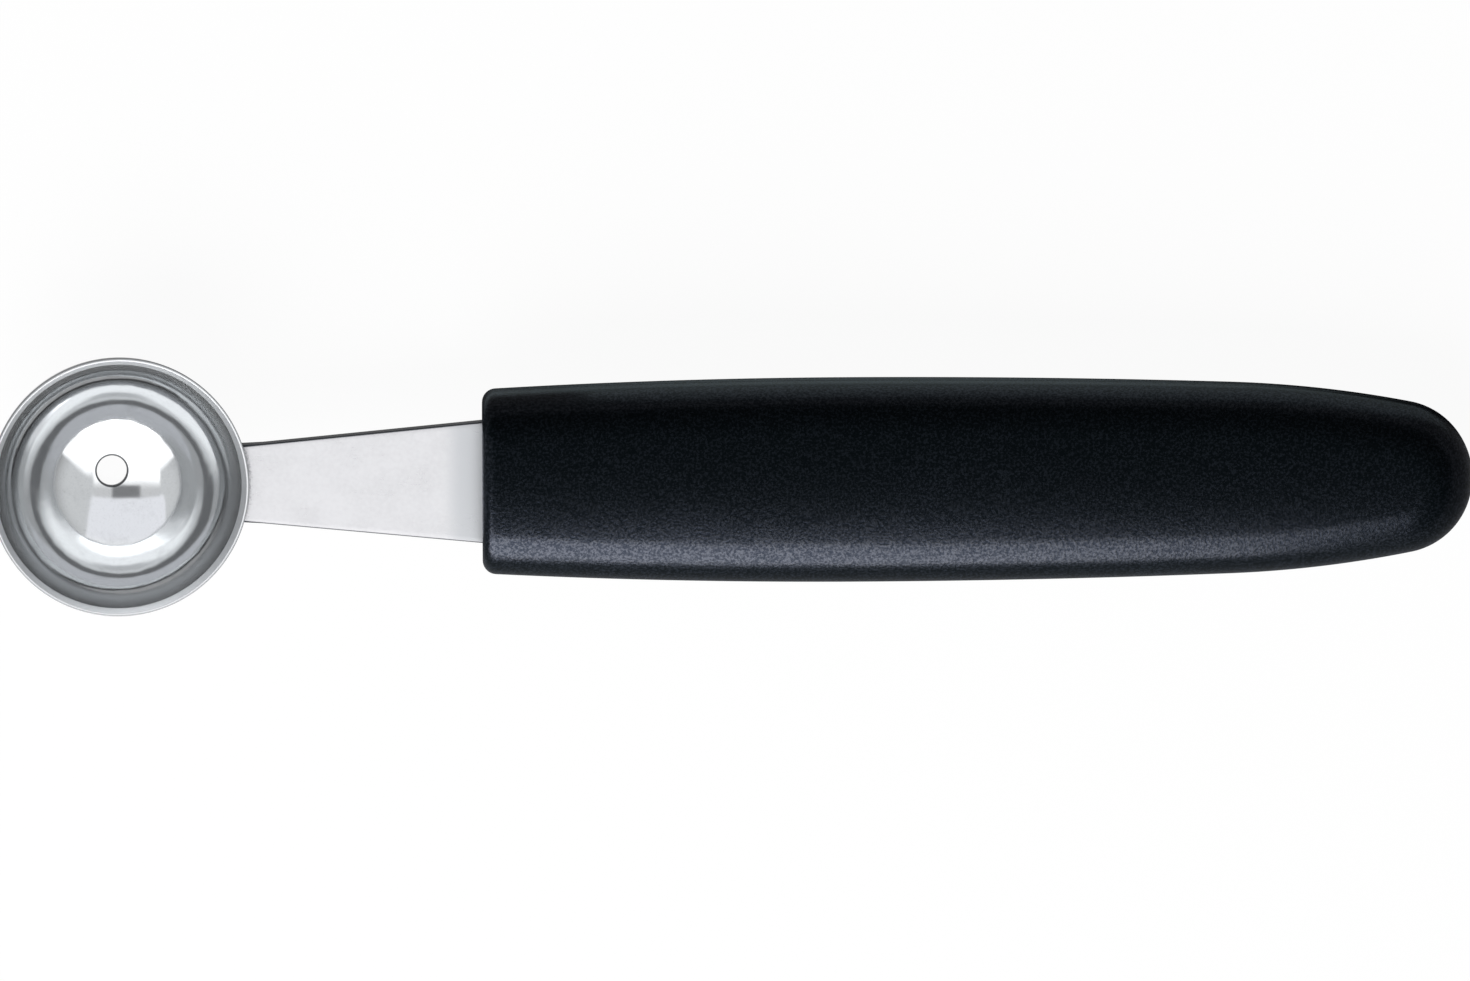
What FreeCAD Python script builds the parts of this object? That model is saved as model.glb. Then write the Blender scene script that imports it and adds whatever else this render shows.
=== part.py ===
import FreeCAD, Part
import math
import os
import Sketcher

os.makedirs("parts", exist_ok=True)
doc = FreeCAD.newDocument("melon_baller")
Vector = FreeCAD.Vector
UP = Vector(0, 0, 1)

# Driving sizes in millimetres, the tilt in degrees.
SIZES = {
    # bowl, with a flat ground rim, a bevel inside it and a drain hole at the bottom
    "bowl_diameter": 30.0,
    "bowl_wall": 0.8,
    "rim_land": 0.3,
    "rim_bevel_depth": 0.9,
    "drain_diameter": 3.5,
    # lean of the bowl's mouth toward the handle, from square to the strip's face
    "mouth_tilt": 4.2,
    # steel strip from bowl to handle, and its tang inside the handle
    "rim_lift": 3.6,
    "strip_thickness": 2.0,
    "neck_width": 8.95,
    "root_width": 14.1,
    "strip_reach": 26.8,
    "seat_depth": 6.0,
    "tang_width": 9.0,
    "tang_length": 72.0,
    "tang_corner": 3.0,
    "shoulder_corner": 1.2,
    "lock_diameter": 4.5,
    "lock_from_seat": 11.0,
    "lock_from_tip": 15.0,
    # weld under the joint of bowl and strip
    "weld_leg": 1.0,
    "weld_inset": 0.5,
    # handle, narrowing from its belly to the front, the hip and the butt
    "handle_length": 114.15,
    "belly_width": 23.1,
    "belly_height": 17.2,
    "belly_setback": 42.6,
    "front_taper": 1.1,
    "hip_taper": 0.66,
    "hip_from_butt": 28.0,
    "butt_drop": 1.9,
    "crown_radius": 45.0,
    "front_edge_radius": 1.2,
    "blank_margin": 1.0,
    # shares: butt radius of the hip's half width, long edge radius of the belly's height
    "butt_share": 0.802,
    "edge_share": 0.35,
}

# Sizes that follow from the driving ones.
DERIVED = {
    "bowl_radius": "bowl_diameter / 2",
    "cavity_radius": "bowl_radius - bowl_wall",
    "front_station": "bowl_radius + strip_reach",
    "strip_start": "0.6 * bowl_radius",
    "strip_underside": "rim_lift + strip_thickness / 2",
    "first_lock": "front_station + seat_depth + lock_from_seat",
    "second_lock": "front_station + tang_length - lock_from_tip",
    "weld_angle": "2 * atan((neck_width / 2 - weld_inset) / bowl_radius)",
    "belly_half_width": "belly_width / 2",
    "belly_half_height": "belly_height / 2",
    "front_half_width": "belly_half_width - front_taper",
    "hip_half_width": "belly_half_width - hip_taper",
    "hip_setback": "handle_length - hip_from_butt",
    "butt_radius": "butt_share * hip_half_width",
    "edge_radius": "edge_share * belly_height",
    "butt_run": "handle_length - belly_setback",
    "sweep_radius": "(butt_run * butt_run + butt_drop * butt_drop) / (2 * butt_drop)",
    "sweep_angle": "2 * atan(handle_length / sweep_radius)",
    "cutter_width": "belly_width + 4 * blank_margin",
    "cutter_top": "sweep_radius + 6 * blank_margin",
    "blank_height": "belly_height + 2 * blank_margin",
}

sheet = doc.addObject("Spreadsheet::Sheet", "sizes")
for row, (name, value) in enumerate(SIZES.items(), start=1):
    sheet.set(f"A{row}", name)
    sheet.set(f"B{row}", str(value))
    sheet.setAlias(f"B{row}", name)
for row, (name, formula) in enumerate(DERIVED.items(), start=len(SIZES) + 1):
    sheet.set(f"A{row}", name)
    sheet.set(f"B{row}", "=" + formula)
    sheet.setAlias(f"B{row}", name)
doc.recompute()


def size(name):
    """Value of one named size."""
    value = sheet.get(name)
    return float(getattr(value, "Value", value))


def bind(target, path, formula):
    """Drive one property from the sheet."""
    target.setExpression(path, formula)


def new_body(label):
    """Empty body that names one piece."""
    body = doc.addObject("PartDesign::Body", label)
    body.Label = label
    return body


def origin_plane(body, role):
    """One of a body's own origin planes."""
    return next(plane for plane in body.Origin.OriginFeatures if plane.Role == role)


def new_sketch(body, label, role):
    """Sketch flat on one of a body's own origin planes."""
    sketch = body.newObject("Sketcher::SketchObject", label)
    sketch.AttachmentSupport = [(origin_plane(body, role), "")]
    sketch.MapMode = "FlatFace"
    return sketch


def line(x1, y1, x2, y2):
    """Straight stroke between two points of a sketch."""
    return Part.LineSegment(Vector(x1, y1, 0), Vector(x2, y2, 0))


def arc(x, y, radius, start, end):
    """Counter-clockwise stroke of a circle, angles in radians."""
    return Part.ArcOfCircle(Part.Circle(Vector(x, y, 0), UP, radius), start, end)


def join(sketch, *pairs):
    """Make pairs of stroke ends coincide."""
    for first, first_end, second, second_end in pairs:
        sketch.addConstraint(
            Sketcher.Constraint("Coincident", first, first_end, second, second_end)
        )


def rule(sketch, kind, *where):
    """Add one geometric constraint."""
    sketch.addConstraint(Sketcher.Constraint(kind, *where))


def dimension(sketch, label, kind, where, formula, value):
    """Add one measured constraint that follows the sheet."""
    index = sketch.addConstraint(Sketcher.Constraint(kind, *where, value))
    sketch.renameConstraint(index, label)
    bind(sketch, f"Constraints.{label}", formula)


def edges_where(shape, test):
    """Names of the edges that a test picks."""
    return [f"Edge{number}" for number, edge in enumerate(shape.Edges, start=1) if test(edge)]


def round_edges(body, label, test, formula):
    """Fillet the picked edges of a body's last feature."""
    base = body.Tip
    fillet = body.newObject("PartDesign::Fillet", label)
    fillet.Base = (base, edges_where(base.Shape, test))
    bind(fillet, "Radius", formula)
    doc.recompute()
    return fillet


def removes(feature, before):
    """Stop if a cut took nothing away."""
    after = feature.Shape.Volume
    if not 0 < after < before:
        raise RuntimeError(f"{feature.Label} cut nothing: {before} to {after}")


# A sketch's own numbers for its axes, its origin and the points of a stroke.
ACROSS, UPRIGHT = range(-1, -3, -1)
START, END, CENTRE = range(1, 4)
ORIGIN = (ACROSS, START)


# Bowl: half the wall's section turned round the upright axis, then the drain hole, all leaning toward the handle.
bowl = new_body("scoop_bowl")
bowl.Placement = FreeCAD.Placement(Vector(), FreeCAD.Rotation(Vector(0, 1, 0), size("mouth_tilt")))
bind(bowl, "Placement.Rotation.Angle", "sizes.mouth_tilt")
wall = new_sketch(bowl, "bowl_section", "XZ_Plane")
outer = size("bowl_radius")
inner = size("cavity_radius")
bevel = size("rim_bevel_depth")
land = size("rim_land")
bevel_angle = -math.asin(bevel / inner)
bevel_reach = inner * math.cos(bevel_angle)
wall.addGeometry(
    [
        arc(0, 0, outer, -math.pi / 2, 0),
        line(outer, 0, outer - land, 0),
        line(outer - land, 0, bevel_reach, -bevel),
        arc(0, 0, inner, -math.pi / 2, bevel_angle),
        line(0, -inner, 0, -outer),
    ]
)
join(wall, (0, CENTRE, *ORIGIN), (3, CENTRE, *ORIGIN))
join(wall, (0, END, 1, START), (1, END, 2, START), (2, END, 3, END))
join(wall, (3, START, 4, START), (4, END, 0, START))
rule(wall, "PointOnObject", 0, START, UPRIGHT)
rule(wall, "PointOnObject", 3, START, UPRIGHT)
rule(wall, "PointOnObject", 0, END, ACROSS)
rule(wall, "PointOnObject", 1, END, ACROSS)
dimension(wall, "outer_radius", "Radius", (0,), "sizes.bowl_radius", outer)
dimension(wall, "inner_radius", "Radius", (3,), "sizes.cavity_radius", inner)
dimension(wall, "land", "DistanceX", (1, END, 1, START), "sizes.rim_land", land)
dimension(wall, "bevel", "DistanceY", (2, END, 2, START), "sizes.rim_bevel_depth", bevel)
shell = bowl.newObject("PartDesign::Revolution", "bowl_shell")
shell.Profile = wall
shell.ReferenceAxis = (wall, ["V_Axis"])
shell.Angle = 360
doc.recompute()

drain = new_sketch(bowl, "drain_outline", "XY_Plane")
drain.addGeometry(Part.Circle(Vector(0, 0, 0), UP, size("drain_diameter") / 2))
join(drain, (0, CENTRE, *ORIGIN))
dimension(drain, "bore", "Diameter", (0,), "sizes.drain_diameter", size("drain_diameter"))
drain_hole = bowl.newObject("PartDesign::Pocket", "drain_hole")
drain_hole.Profile = drain
drain_hole.Type = "ThroughAll"
doc.recompute()
removes(drain_hole, shell.Shape.Volume)

# Strip and tang: half the blank padded and mirrored, its end cut to the bowl's round, then the lock holes.
shank = new_body("shank")
bind(shank, "Placement.Base.z", "-sizes.rim_lift")
blank = new_sketch(shank, "strip_outline", "XY_Plane")
start = size("strip_start")
front = size("front_station")
neck_half = size("neck_width") / 2
root_half = size("root_width") / 2
tang_half = size("tang_width") / 2
seat_end = front + size("seat_depth")
tang_end = front + size("tang_length")
flare = (root_half - neck_half) / (front - outer)
start_half = neck_half - flare * (outer - start)
blank.addGeometry(
    [
        line(start, 0, start, start_half),
        line(start, start_half, front, root_half),
        line(front, root_half, seat_end, root_half),
        line(seat_end, root_half, seat_end, tang_half),
        line(seat_end, tang_half, tang_end, tang_half),
        line(tang_end, tang_half, tang_end, 0),
        line(tang_end, 0, start, 0),
    ]
)
NECK = blank.addGeometry(Part.Point(Vector(outer, neck_half, 0)), True)
join(blank, *[(stroke, END, stroke + 1, START) for stroke in range(6)], (6, END, 0, START))
rule(blank, "PointOnObject", 0, START, ACROSS)
rule(blank, "PointOnObject", 5, END, ACROSS)
rule(blank, "Vertical", 0)
rule(blank, "Horizontal", 2)
rule(blank, "Vertical", 3)
rule(blank, "Horizontal", 4)
rule(blank, "Vertical", 5)
rule(blank, "PointOnObject", NECK, START, 1)
dimension(blank, "start", "DistanceX", (*ORIGIN, 0, START), "sizes.strip_start", start)
dimension(blank, "neck_place", "DistanceX", (*ORIGIN, NECK, START), "sizes.bowl_radius", outer)
dimension(blank, "neck_half", "DistanceY", (*ORIGIN, NECK, START), "sizes.neck_width / 2", neck_half)
dimension(blank, "root_place", "DistanceX", (*ORIGIN, 1, END), "sizes.front_station", front)
dimension(blank, "root_half", "DistanceY", (*ORIGIN, 1, END), "sizes.root_width / 2", root_half)
dimension(blank, "seat", "DistanceX", (2, START, 2, END), "sizes.seat_depth", size("seat_depth"))
dimension(blank, "tang_half", "DistanceY", (*ORIGIN, 4, START), "sizes.tang_width / 2", tang_half)
dimension(blank, "tang", "DistanceX", (1, END, 4, END), "sizes.tang_length", size("tang_length"))
half_strip = shank.newObject("PartDesign::Pad", "half_strip")
half_strip.Profile = blank
half_strip.Midplane = True
bind(half_strip, "Length", "sizes.strip_thickness")
doc.recompute()

strip = shank.newObject("PartDesign::Mirrored", "whole_strip")
strip.Originals = [half_strip]
strip.MirrorPlane = (origin_plane(shank, "XZ_Plane"), [""])
shank.Tip = strip
doc.recompute()

bowl_seat = shank.newObject("PartDesign::SubtractiveSphere", "bowl_seat")
bowl_seat.AttachmentSupport = [(origin_plane(shank, "XY_Plane"), "")]
bowl_seat.MapMode = "FlatFace"
bowl_seat.AttachmentOffset.Rotation = FreeCAD.Rotation(UP, 180)
bind(bowl_seat, "AttachmentOffset.Base.z", "sizes.rim_lift")
bind(bowl_seat, "Radius", "sizes.bowl_radius")
doc.recompute()
removes(bowl_seat, strip.Shape.Volume)

locks = new_sketch(shank, "lock_outline", "XY_Plane")
lock_radius = size("lock_diameter") / 2
first_lock = size("first_lock")
second_lock = size("second_lock")
locks.addGeometry(
    [
        Part.Circle(Vector(first_lock, 0, 0), UP, lock_radius),
        Part.Circle(Vector(second_lock, 0, 0), UP, lock_radius),
    ]
)
rule(locks, "PointOnObject", 0, CENTRE, ACROSS)
rule(locks, "PointOnObject", 1, CENTRE, ACROSS)
rule(locks, "Equal", 0, 1)
dimension(locks, "lock", "Diameter", (0,), "sizes.lock_diameter", size("lock_diameter"))
dimension(locks, "first_place", "DistanceX", (*ORIGIN, 0, CENTRE), "sizes.first_lock", first_lock)
dimension(locks, "second_place", "DistanceX", (*ORIGIN, 1, CENTRE), "sizes.second_lock", second_lock)
lock_holes = shank.newObject("PartDesign::Pocket", "lock_holes")
lock_holes.Profile = locks
lock_holes.Type = "ThroughAll"
lock_holes.Midplane = True
doc.recompute()
removes(lock_holes, bowl_seat.Shape.Volume)


def upright_at(station, side):
    """Test for the strip's upright corner edges at one place along it and one distance off its middle."""

    def test(edge):
        ends = [vertex.Point for vertex in edge.Vertexes]
        at_corner = all(
            abs(end.x - station) < 1e-3 and abs(abs(end.y) - side) < 1e-3 for end in ends
        )
        return at_corner and abs(ends[0].y - ends[-1].y) < 1e-3

    return test


round_edges(shank, "tang_tip", upright_at(tang_end, tang_half), "sizes.tang_corner")
round_edges(shank, "tang_shoulder", upright_at(seat_end, tang_half), "sizes.shoulder_corner")

# Weld: a quarter-round bead turned about the bowl's axis, under the strip and within its width.
weld = new_body("weld_bead")
bead = new_sketch(weld, "bead_section", "XZ_Plane")
underside = size("strip_underside")
leg = size("weld_leg")
corner_angle = -math.asin(underside / outer)
toe_angle = corner_angle - 2 * math.asin(leg / (2 * outer))
corner_x = outer * math.cos(corner_angle)
toe_x = outer * math.cos(toe_angle)
toe_y = outer * math.sin(toe_angle)
bead.addGeometry(
    [
        arc(0, 0, outer, toe_angle, corner_angle),
        line(corner_x, -underside, corner_x + leg, -underside),
        arc(corner_x, -underside, leg, math.atan2(toe_y + underside, toe_x - corner_x), 0),
    ]
)
join(bead, (0, CENTRE, *ORIGIN), (0, END, 1, START), (1, END, 2, END), (2, START, 0, START))
join(bead, (2, CENTRE, 0, END))
rule(bead, "Horizontal", 1)
dimension(bead, "bowl_round", "Radius", (0,), "sizes.bowl_radius", outer)
dimension(bead, "bead_round", "Radius", (2,), "sizes.weld_leg", leg)
dimension(bead, "strip_face", "DistanceY", (0, END, *ORIGIN), "sizes.strip_underside", underside)
bead_turn = weld.newObject("PartDesign::Revolution", "bead_turn")
bead_turn.Profile = bead
bead_turn.ReferenceAxis = (bead, ["V_Axis"])
bead_turn.Midplane = True
bind(bead_turn, "Angle", "sizes.weld_angle")
doc.recompute()

# Handle: half its plan padded and mirrored, crowned above and below, edges rounded, then cut to the tang.
grip = new_body("handle_blank")
bind(grip, "Placement.Base.x", "sizes.front_station")
bind(grip, "Placement.Base.z", "-sizes.rim_lift")
plan = new_sketch(grip, "handle_plan", "XY_Plane")
length = size("handle_length")
belly_x = size("belly_setback")
belly_y = size("belly_half_width")
front_y = size("front_half_width")
hip_x = size("hip_setback")
hip_y = size("hip_half_width")
butt = size("butt_radius")
butt_x = length - butt


def flank_radius(run, drop):
    """Radius of an arc that starts level and drops by this much over this run."""
    return (run * run + drop * drop) / (2 * drop)


fore_radius = flank_radius(belly_x, belly_y - front_y)
aft_radius = flank_radius(hip_x - belly_x, belly_y - hip_y)
hip_slope = math.asin((hip_x - belly_x) / aft_radius)
inward = Vector(-math.sin(hip_slope), -math.cos(hip_slope), 0)
to_hip = Vector(hip_x - butt_x, hip_y, 0)
hip_radius = (butt * butt - to_hip.Length**2) / (2 * (inward.dot(to_hip) + butt))
hip_centre = Vector(hip_x, hip_y, 0) + inward * hip_radius
meet_angle = math.atan2(-hip_centre.y, butt_x - hip_centre.x)
plan.addGeometry(
    [
        line(0, 0, 0, front_y),
        arc(
            belly_x,
            belly_y - fore_radius,
            fore_radius,
            math.pi / 2,
            math.pi / 2 + math.asin(belly_x / fore_radius),
        ),
        arc(belly_x, belly_y - aft_radius, aft_radius, math.pi / 2 - hip_slope, math.pi / 2),
        arc(hip_centre.x, hip_centre.y, hip_radius, meet_angle, math.pi / 2 - hip_slope),
        arc(butt_x, 0, butt, 0, meet_angle),
        line(length, 0, 0, 0),
    ]
)
join(plan, (0, START, *ORIGIN), (0, END, 1, END), (4, START, 5, START), (5, END, 0, START))
rule(plan, "Tangent", 1, START, 2, END)
rule(plan, "Tangent", 2, START, 3, END)
rule(plan, "Tangent", 3, START, 4, END)
rule(plan, "Vertical", 0)
rule(plan, "PointOnObject", 4, CENTRE, ACROSS)
rule(plan, "PointOnObject", 4, START, ACROSS)
rule(plan, "Vertical", 1, START, 1, CENTRE)
dimension(plan, "front_half", "DistanceY", (0, START, 0, END), "sizes.front_half_width", front_y)
dimension(plan, "belly_place", "DistanceX", (*ORIGIN, 1, START), "sizes.belly_setback", belly_x)
dimension(plan, "belly_half", "DistanceY", (*ORIGIN, 1, START), "sizes.belly_half_width", belly_y)
dimension(plan, "hip_place", "DistanceX", (*ORIGIN, 2, START), "sizes.hip_setback", hip_x)
dimension(plan, "hip_half", "DistanceY", (*ORIGIN, 2, START), "sizes.hip_half_width", hip_y)
dimension(plan, "butt_round", "Radius", (4,), "sizes.butt_radius", butt)
dimension(plan, "length", "DistanceX", (*ORIGIN, 4, START), "sizes.handle_length", length)
half_blank = grip.newObject("PartDesign::Pad", "half_blank")
half_blank.Profile = plan
half_blank.Midplane = True
bind(half_blank, "Length", "sizes.blank_height")
doc.recompute()

whole_blank = grip.newObject("PartDesign::Mirrored", "whole_blank")
whole_blank.Originals = [half_blank]
whole_blank.MirrorPlane = (origin_plane(grip, "XZ_Plane"), [""])
grip.Tip = whole_blank
doc.recompute()

crown = new_sketch(grip, "crown_section", "YZ_Plane")
bind(crown, "AttachmentOffset.Base.y", "sizes.belly_half_height - sizes.sweep_radius")
bind(crown, "AttachmentOffset.Base.z", "sizes.belly_setback")
sweep = size("sweep_radius")
crown_round = size("crown_radius")
half_cut = size("cutter_width") / 2
cut_top = size("cutter_top")
crown_y = sweep - crown_round
lean = math.asin(half_cut / crown_round)
side_y = crown_y + crown_round * math.cos(lean)
crown.addGeometry(
    [
        arc(0, crown_y, crown_round, math.pi / 2 - lean, math.pi / 2 + lean),
        line(-half_cut, side_y, -half_cut, cut_top),
        line(-half_cut, cut_top, half_cut, cut_top),
        line(half_cut, cut_top, half_cut, side_y),
    ]
)
join(crown, (0, END, 1, START), (1, END, 2, START), (2, END, 3, START), (3, END, 0, START))
rule(crown, "PointOnObject", 0, CENTRE, UPRIGHT)
rule(crown, "Vertical", 1)
rule(crown, "Horizontal", 2)
rule(crown, "Vertical", 3)
rule(crown, "Symmetric", 0, START, 0, END, UPRIGHT)
dimension(crown, "round", "Radius", (0,), "sizes.crown_radius", crown_round)
dimension(
    crown,
    "place",
    "DistanceY",
    (*ORIGIN, 0, CENTRE),
    "sizes.sweep_radius - sizes.crown_radius",
    crown_y,
)
dimension(crown, "width", "DistanceX", (0, END, 0, START), "sizes.cutter_width", 2 * half_cut)
dimension(crown, "top", "DistanceY", (*ORIGIN, 1, END), "sizes.cutter_top", cut_top)
top_crown = grip.newObject("PartDesign::Groove", "top_crown")
top_crown.Profile = crown
top_crown.ReferenceAxis = (crown, ["H_Axis"])
top_crown.Midplane = True
bind(top_crown, "Angle", "sizes.sweep_angle")
doc.recompute()
removes(top_crown, whole_blank.Shape.Volume)

crowned = grip.newObject("PartDesign::Mirrored", "both_crowns")
crowned.Originals = [top_crown]
crowned.MirrorPlane = (origin_plane(grip, "XY_Plane"), [""])
grip.Tip = crowned
doc.recompute()
removes(crowned, top_crown.Shape.Volume)


def on_front(edge):
    """Test for edges that lie in the handle's front face."""
    return all(abs(vertex.Point.x) < 1e-3 for vertex in edge.Vertexes)


def along_crown(edge):
    """Test for the long edges where a crowned face meets the flanks and the butt."""
    middle = (edge.FirstParameter + edge.LastParameter) / 2
    return not on_front(edge) and abs(edge.tangentAt(middle).z) < 0.9


round_edges(grip, "long_edges", along_crown, "sizes.edge_radius")
round_edges(grip, "front_edges", on_front, "sizes.front_edge_radius")

handle = doc.addObject("Part::Cut", "handle")
handle.Label = "handle"
handle.Base = grip
handle.Tool = shank
doc.recompute()

for item in doc.Objects:
    if "Invalid" in item.State or "Error" in item.State:
        raise RuntimeError(f"{item.Label} is in state {item.State}")
    shape = getattr(item, "Shape", None)
    if shape is not None and (shape.isNull() or not shape.isValid()):
        raise RuntimeError(f"{item.Label} has no valid shape")

for piece in (bowl, shank, weld, handle):
    if len(piece.Shape.Solids) != 1:
        raise RuntimeError(f"{piece.Label} has {len(piece.Shape.Solids)} solids")
    print(piece.Label, round(piece.Shape.Volume, 2), piece.Shape.BoundBox)
    piece.Shape.exportStep(f"parts/{piece.Label}.step")
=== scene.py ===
import logging
import math
from dataclasses import dataclass, field
from enum import Enum
from typing import Any, Dict, List, Optional, Sequence, Tuple, Union

import bpy
import numpy as np
from mathutils import Matrix, Vector


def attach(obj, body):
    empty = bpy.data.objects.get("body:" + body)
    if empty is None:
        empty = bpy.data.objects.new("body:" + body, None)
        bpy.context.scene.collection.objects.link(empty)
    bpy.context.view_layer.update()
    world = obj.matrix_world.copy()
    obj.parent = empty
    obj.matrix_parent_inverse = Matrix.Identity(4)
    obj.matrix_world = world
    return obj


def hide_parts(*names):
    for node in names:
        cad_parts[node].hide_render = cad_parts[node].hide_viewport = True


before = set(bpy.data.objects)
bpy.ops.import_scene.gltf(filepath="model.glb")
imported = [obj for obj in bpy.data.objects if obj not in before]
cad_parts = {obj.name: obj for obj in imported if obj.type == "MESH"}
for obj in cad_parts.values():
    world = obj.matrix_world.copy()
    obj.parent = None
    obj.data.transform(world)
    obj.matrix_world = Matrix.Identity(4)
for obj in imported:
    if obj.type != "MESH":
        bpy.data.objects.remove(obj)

LOG = logging.getLogger("melon_baller")
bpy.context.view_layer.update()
MM = 0.001  # one millimetre in metres; sizes below are in millimetres where nothing else is said
SAME = 1e-4  # points nearer than this, in millimetres, are one point
TINY = 1e-9  # keeps a divisor from being nought
SHARP = math.radians(38.0)  # edges that turn more than this stay crisp
QUARTER = math.pi / 2.0  # a quarter turn
FLAT = np.array([1.0, 1.0, 0.0])  # brings points to the middle plane

BOWL_RADIUS = 15.0
DRAIN_RADIUS = 1.75
MOUTH_TILT = 4.2  # degrees by which the bowl's mouth leans toward the handle
FRONT = 41.8  # where the handle starts
DROP = 3.6  # depth of the strip's middle plane below the rim
NECK_HALF = 4.475  # half the strip's width at the bowl
ROOT_HALF = 7.05  # half its width at the handle
STRIP_THICKNESS = 2.0

Number = Union["Value", float]
Colour = Tuple[float, float, float]
WHITE: Colour = (1.0, 1.0, 1.0)


class Node(Enum):
    """CAD nodes that the pieces here stand for."""

    BOWL = "scoop_bowl"
    SHANK = "shank"
    WELD = "weld_bead"
    HANDLE = "handle"


class Slot(Enum):
    """Material slots of the record."""

    POLISHED = "polished_steel"
    SATIN = "satin_steel"
    WELD = "weld_steel"
    PLASTIC = "black_plastic"


class Value:
    """One output of a shader tree, with arithmetic that adds Math nodes."""

    def __init__(self, tree: "Tree", socket: bpy.types.NodeSocket) -> None:
        """Keep the tree and one output socket in it."""
        self.tree = tree
        self.socket = socket

    def math(self, operation: str, *others: Number) -> "Value":
        """Apply one Math node to this value and the others."""
        return self.tree.math(operation, self, *others)

    def __add__(self, other: Number) -> "Value":
        """Sum."""
        return self.math("ADD", other)

    __radd__ = __add__

    def __sub__(self, other: Number) -> "Value":
        """Difference."""
        return self.math("SUBTRACT", other)

    def __rsub__(self, other: Number) -> "Value":
        """Difference from a number."""
        return self.tree.math("SUBTRACT", other, self)

    def __mul__(self, other: Number) -> "Value":
        """Product."""
        return self.math("MULTIPLY", other)

    __rmul__ = __mul__

    def __truediv__(self, other: Number) -> "Value":
        """Quotient."""
        return self.math("DIVIDE", other)

    def __rtruediv__(self, other: Number) -> "Value":
        """Number divided by this."""
        return self.tree.math("DIVIDE", other, self)

    def __abs__(self) -> "Value":
        """Size without sign."""
        return self.math("ABSOLUTE")

    def step(self, low: float, high: float, first: float = 0.0, last: float = 1.0) -> "Value":
        """Smooth change from the first number at low to the last at high."""
        ends = {"From Min": low, "From Max": high, "To Min": first, "To Max": last}
        return self.tree.node("ShaderNodeMapRange", {"interpolation_type": "SMOOTHSTEP"}, {"Value": self, **ends})


class Tree:
    """Builds the node tree of one material or world."""

    def __init__(self, owner: Union[bpy.types.Material, bpy.types.World]) -> None:
        """Empty the owner's tree.

        Args:
            owner: a material or a world.
        """
        owner.use_nodes = True
        self.owner = owner
        self.tree = owner.node_tree
        self.tree.nodes.clear()

    def node(
        self,
        kind: str,
        settings: Optional[Dict[str, Any]] = None,
        inputs: Optional[Dict[Union[str, int], Any]] = None,
        output: Union[str, int] = 0,
    ) -> Optional[Value]:
        """Add one node.

        Args:
            kind: the node's type.
            settings: its own settings.
            inputs: numbers, colours or values for its sockets, by name or place.
            output: the output that is wanted.

        Returns:
            That output, or nothing where the node has none.
        """
        made = self.tree.nodes.new(kind)
        for name, setting in (settings or {}).items():
            setattr(made, name, setting)
        for name, given in (inputs or {}).items():
            if isinstance(given, Value):
                self.tree.links.new(given.socket, made.inputs[name])
            else:
                made.inputs[name].default_value = given
        return Value(self, made.outputs[output]) if len(made.outputs) else None

    def math(self, operation: str, *values: Number) -> Value:
        """Add one Math node with these inputs, in order."""
        return self.node("ShaderNodeMath", {"operation": operation}, dict(enumerate(values)))

    def mix(self, share: Number, first: Any, second: Any) -> Value:
        """Blend two colours or values: a share of 0 gives the first, 1 the second."""
        ends = {6: self.colour(first), 7: self.colour(second)}
        return self.node("ShaderNodeMix", {"data_type": "RGBA"}, {0: share, **ends}, 2)

    @staticmethod
    def colour(given: Any) -> Any:
        """Give a plain colour its alpha, and leave a value alone."""
        return given if isinstance(given, Value) else (*given, 1.0)

    def place(self) -> Value:
        """Object coordinates, in metres."""
        return self.node("ShaderNodeTexCoord", output="Object")

    def parts(self, vector: Value) -> List[Value]:
        """Split a vector into its three parts."""
        made = self.node("ShaderNodeSeparateXYZ", inputs={0: vector})
        return [Value(self, socket) for socket in made.socket.node.outputs]

    def dot(self, vector: Value, axis: Sequence[float]) -> Value:
        """Length of a vector along a direction."""
        return self.node("ShaderNodeVectorMath", {"operation": "DOT_PRODUCT"}, {0: vector, 1: tuple(axis)}, "Value")

    def vector(self, x: Number, y: Number, z: Number) -> Value:
        """Join three numbers to a vector."""
        return self.node("ShaderNodeCombineXYZ", inputs={0: x, 1: y, 2: z})

    def noise(self, where: Value, scale: float, detail: float, rough: float) -> Value:
        """Cloudy noise around 0.5, with its cells per unit, its octaves and the share of the fine ones."""
        inputs = {"Vector": where, "Scale": scale, "Detail": detail, "Roughness": rough}
        return self.node("ShaderNodeTexNoise", None, inputs)

    def bump(self, height: Value, distance: float, strength: float) -> Value:
        """Normal of a relief: its height from 0 to 1, what 1 stands for in metres, and the share that shows."""
        return self.node("ShaderNodeBump", None, {"Strength": strength, "Distance": distance, "Height": height})

    def surface(self, inputs: Dict[str, Any]) -> bpy.types.Material:
        """Finish a material with one Principled shader, and give the material."""
        return self.close(self.node("ShaderNodeBsdfPrincipled", None, inputs))

    def close(self, shader: Value) -> Union[bpy.types.Material, bpy.types.World]:
        """Lead a shader to the output.

        Args:
            shader: what the surface or the world shows.

        Returns:
            The material or world.
        """
        kind = "World" if isinstance(self.owner, bpy.types.World) else "Material"
        self.node(f"ShaderNodeOutput{kind}", None, {"Surface": shader})
        return self.owner


def shaded(colour: Colour, share: float) -> Colour:
    """Give a share of a colour."""
    return tuple(share * part for part in colour)


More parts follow.
